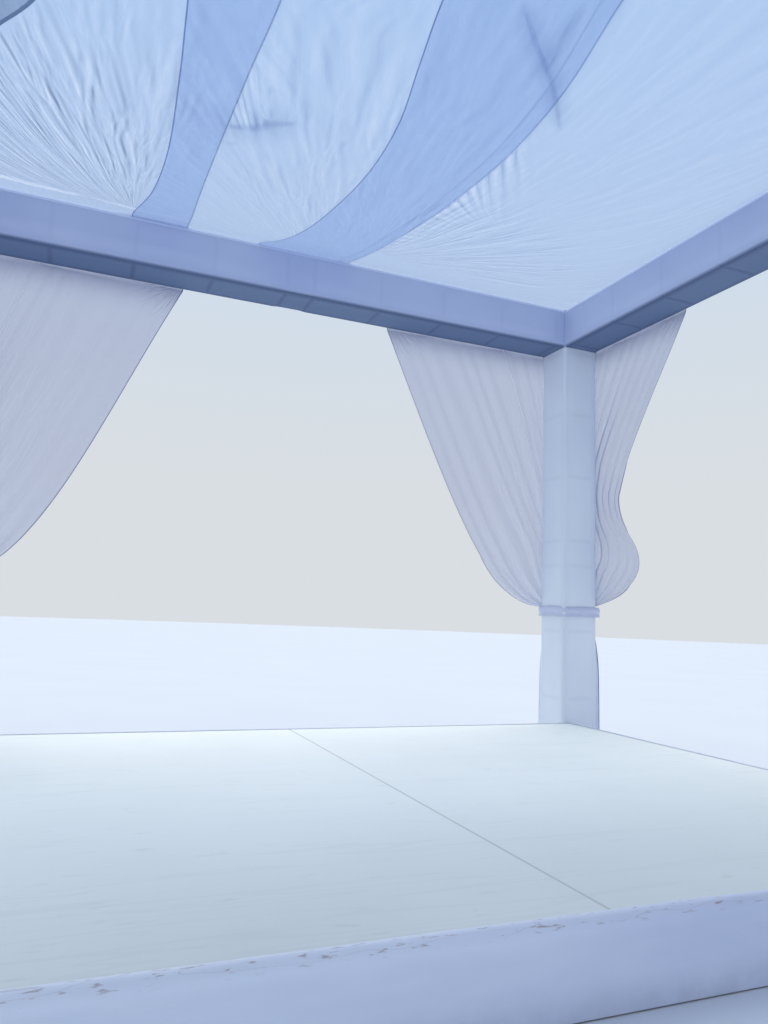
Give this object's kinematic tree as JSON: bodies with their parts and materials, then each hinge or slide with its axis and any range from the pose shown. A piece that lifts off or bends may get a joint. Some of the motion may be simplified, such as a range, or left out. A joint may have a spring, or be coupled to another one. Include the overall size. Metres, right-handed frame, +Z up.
{
  "type": "chuppah canopy",
  "caption": "Open square frame of fabric-sleeved truss with a sagging sheer roof, tied-back sheer curtains and a low covered stage, for outdoor ceremonies.",
  "frame": {"origin": "on the ground at the middle of the square frame", "axes": "+Z up, +Y to the back of the canopy, +X to the right as seen from the front"},
  "size_m": [4.9392, 4.9392, 3.4999],
  "materials": {
    "sleeve_fabric": "matt stretch polyester sleeve, white in lavender shade",
    "roof_voile": "sheer white voile, see-through in one layer and denser where two lie together",
    "curtain_voile": "sheer white voile, hemmed",
    "tie_fabric": "white cloth band, folded",
    "deck_cover": "matt white needle felt, slightly soiled",
    "skirt_fabric": "white cloth wrap, slack and creased, with dirt marks",
    "bearer_timber": "plain sawn softwood",
    "plate_steel": "zinc-plated steel plate"
  },
  "bodies": {
    "root": {"base_plate_back_left": "plate_steel", "base_plate_front_left": "plate_steel", "base_plate_front_right": "plate_steel", "base_plate_back_right": "plate_steel", "post_back_left": "sleeve_fabric", "post_front_left": "sleeve_fabric", "post_front_right": "sleeve_fabric", "post_back_right": "sleeve_fabric", "corner_block_back_left": "sleeve_fabric", "corner_block_front_left": "sleeve_fabric", "corner_block_front_right": "sleeve_fabric", "corner_block_back_right": "sleeve_fabric", "beam_back": "sleeve_fabric", "beam_left": "sleeve_fabric", "beam_front": "sleeve_fabric", "beam_right": "sleeve_fabric", "roof_cloth_left": "roof_voile", "roof_cloth_middle": "roof_voile", "roof_cloth_right": "roof_voile", "curtain_back_left": "curtain_voile", "curtain_back_right": "curtain_voile", "curtain_left_front": "curtain_voile", "curtain_left_back": "curtain_voile", "curtain_front_right": "curtain_voile", "curtain_front_left": "curtain_voile", "curtain_right_back": "curtain_voile", "curtain_right_front": "curtain_voile", "tie_band_back_left": "tie_fabric", "tie_band_front_left": "tie_fabric", "tie_band_front_right": "tie_fabric", "tie_band_back_right": "tie_fabric", "deck_panel_left": "deck_cover", "deck_panel_right": "deck_cover", "deck_skirt_front": "skirt_fabric", "deck_skirt_back": "skirt_fabric", "deck_skirt_left": "skirt_fabric", "deck_skirt_right": "skirt_fabric", "deck_bearer": "bearer_timber"}
  },
  "joints": []
}
